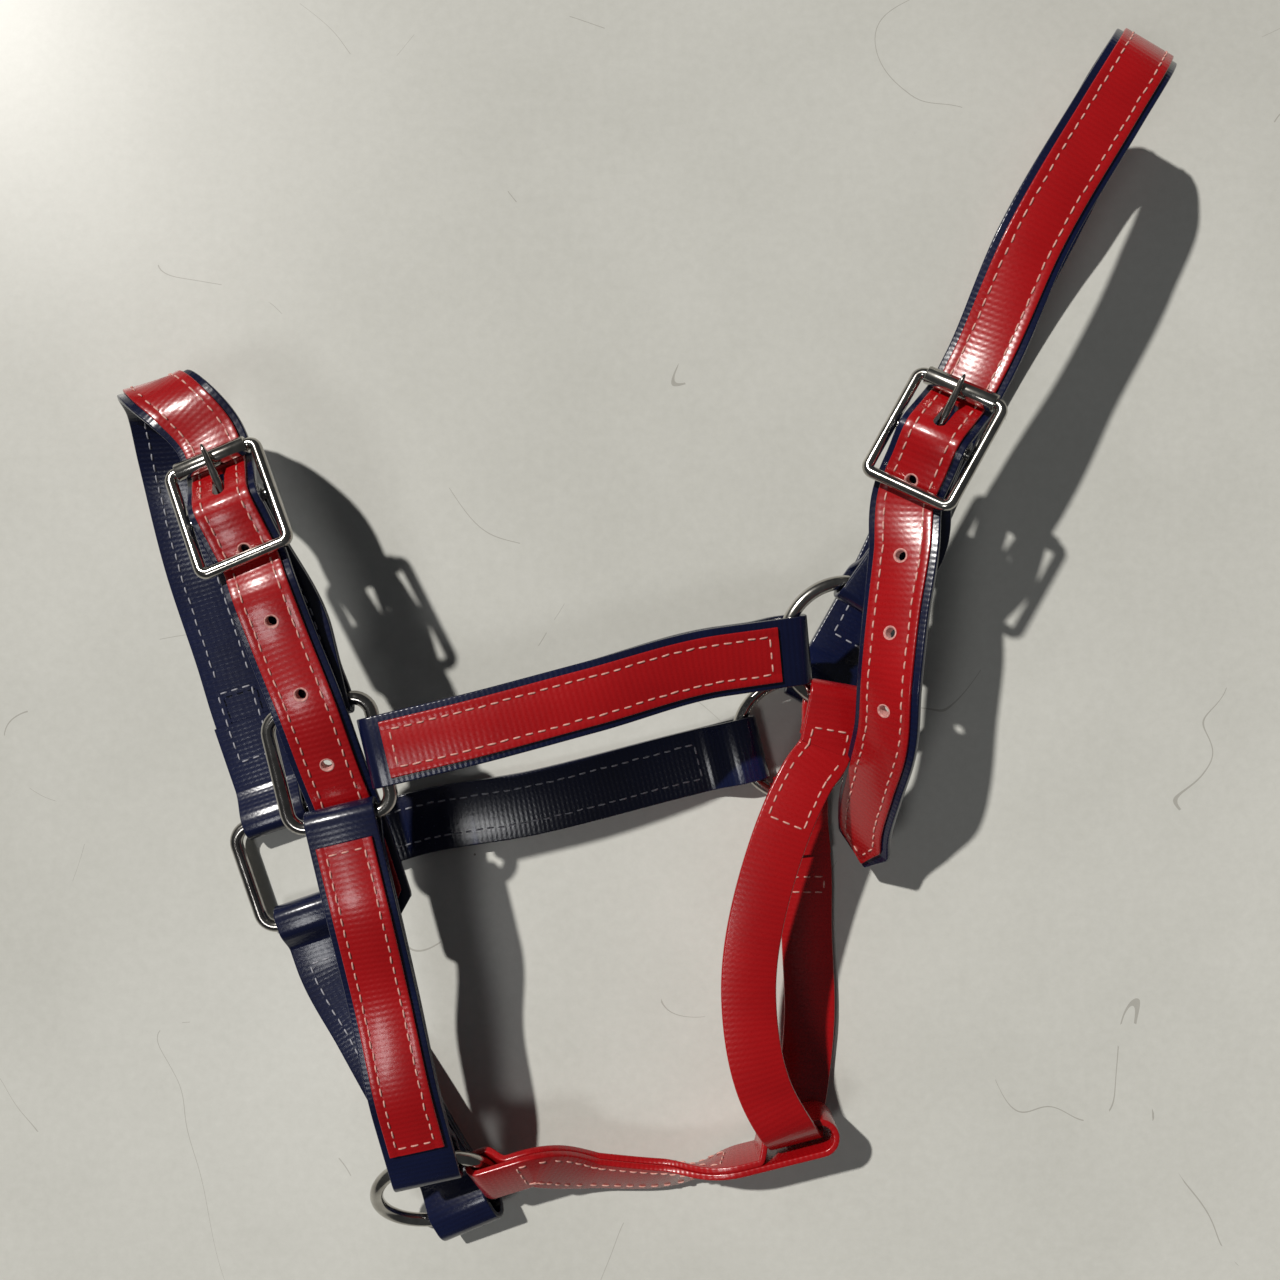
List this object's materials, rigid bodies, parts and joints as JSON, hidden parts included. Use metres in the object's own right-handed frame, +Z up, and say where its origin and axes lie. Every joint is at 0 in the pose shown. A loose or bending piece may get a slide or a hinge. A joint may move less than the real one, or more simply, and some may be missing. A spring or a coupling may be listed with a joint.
{
  "type": "head halter",
  "caption": "Adjustable webbing head halter for a horse, lying on its side: doubled straps with a stitched strip, wire rings and roller buckles.",
  "frame": {"origin": "under the middle of the laid-out halter, on the surface that it lies on", "axes": "+Z up from the surface, out of the near side; +Y along the halter's longest extent, towards the crown; +X towards the back of the head"},
  "size_m": [0.3875, 0.4556, 0.0797],
  "materials": {
    "navy_webbing": "glossy PVC-coated webbing, dark blue, stitched",
    "red_webbing": "glossy PVC-coated webbing, red, stitched",
    "nickel": "polished nickel plate"
  },
  "bodies": {
    "halter_straps": {"crown_strap": "navy_webbing", "crown_overlay": "red_webbing", "crown_chape": "navy_webbing", "noseband_strap": "navy_webbing", "noseband_overlay": "red_webbing", "nose_chape": "navy_webbing", "near_cheek_strap": "navy_webbing", "near_cheek_overlay": "red_webbing", "far_cheek_strap": "navy_webbing", "far_cheek_overlay": "red_webbing", "near_chin_strap": "navy_webbing", "near_chin_overlay": "red_webbing", "far_chin_strap": "navy_webbing", "far_chin_overlay": "red_webbing", "throat_strap": "red_webbing", "throat_connector": "red_webbing", "near_nose_ring": "nickel", "far_nose_ring": "nickel"},
    "near_cheek_ring": {"near_cheek_ring": "nickel"},
    "far_cheek_ring": {"far_cheek_ring": "nickel"},
    "chin_ring": {"chin_ring": "nickel"},
    "crown_buckle": {"crown_buckle_frame": "nickel"},
    "crown_buckle_roller": {"crown_buckle_roller": "nickel"},
    "crown_buckle_tongue": {"crown_buckle_tongue": "nickel"},
    "nose_buckle": {"nose_buckle_frame": "nickel"},
    "nose_buckle_roller": {"nose_buckle_roller": "nickel"},
    "nose_buckle_tongue": {"nose_buckle_tongue": "nickel"}
  },
  "joints": [
    {"name": "near_cheek_ring_turn", "type": "hinge", "parent": "halter_straps", "child": "near_cheek_ring", "pos_m": [0.0745, 0.0056, 0.04204], "axis": [0.0986, -0.138, 0.9855], "continuous": true},
    {"name": "far_cheek_ring_turn", "type": "hinge", "parent": "halter_straps", "child": "far_cheek_ring", "pos_m": [0.0606, -0.0314, 0.00684], "axis": [0, 0, 1], "continuous": true},
    {"name": "chin_ring_turn", "type": "hinge", "parent": "halter_straps", "child": "chin_ring", "pos_m": [-0.0772, -0.2016, 0.02354], "axis": [0.166, -0.621, 0.766], "continuous": true},
    {"name": "crown_buckle_tilt", "type": "hinge", "parent": "halter_straps", "child": "crown_buckle", "pos_m": [0.10098, 0.07563, 0.06854], "axis": [-0.8219, 0.4556, -0.342], "range_deg": [-1, 1]},
    {"name": "crown_buckle_roller_turn", "type": "hinge", "parent": "crown_buckle", "child": "crown_buckle_roller", "pos_m": [0.10991, 0.09287, 0.07004], "axis": [-0.8219, 0.4556, -0.342], "continuous": true},
    {"name": "crown_buckle_tongue_lift", "type": "hinge", "parent": "crown_buckle", "child": "crown_buckle_tongue", "pos_m": [0.10098, 0.07563, 0.06854], "axis": [0.8219, -0.4556, 0.342], "range_deg": [0, 6]},
    {"name": "nose_buckle_tilt", "type": "hinge", "parent": "halter_straps", "child": "nose_buckle", "pos_m": [-0.14105, 0.05194, 0.06849], "axis": [-0.9212, -0.3891, 0], "range_deg": [-1, 1]},
    {"name": "nose_buckle_roller_turn", "type": "hinge", "parent": "nose_buckle", "child": "nose_buckle_roller", "pos_m": [-0.14852, 0.06964, 0.06535], "axis": [-0.9212, -0.3891, 0], "continuous": true},
    {"name": "nose_buckle_tongue_lift", "type": "hinge", "parent": "nose_buckle", "child": "nose_buckle_tongue", "pos_m": [-0.14105, 0.05194, 0.06849], "axis": [0.9212, 0.3891, 0], "range_deg": [0, 6]}
  ]
}
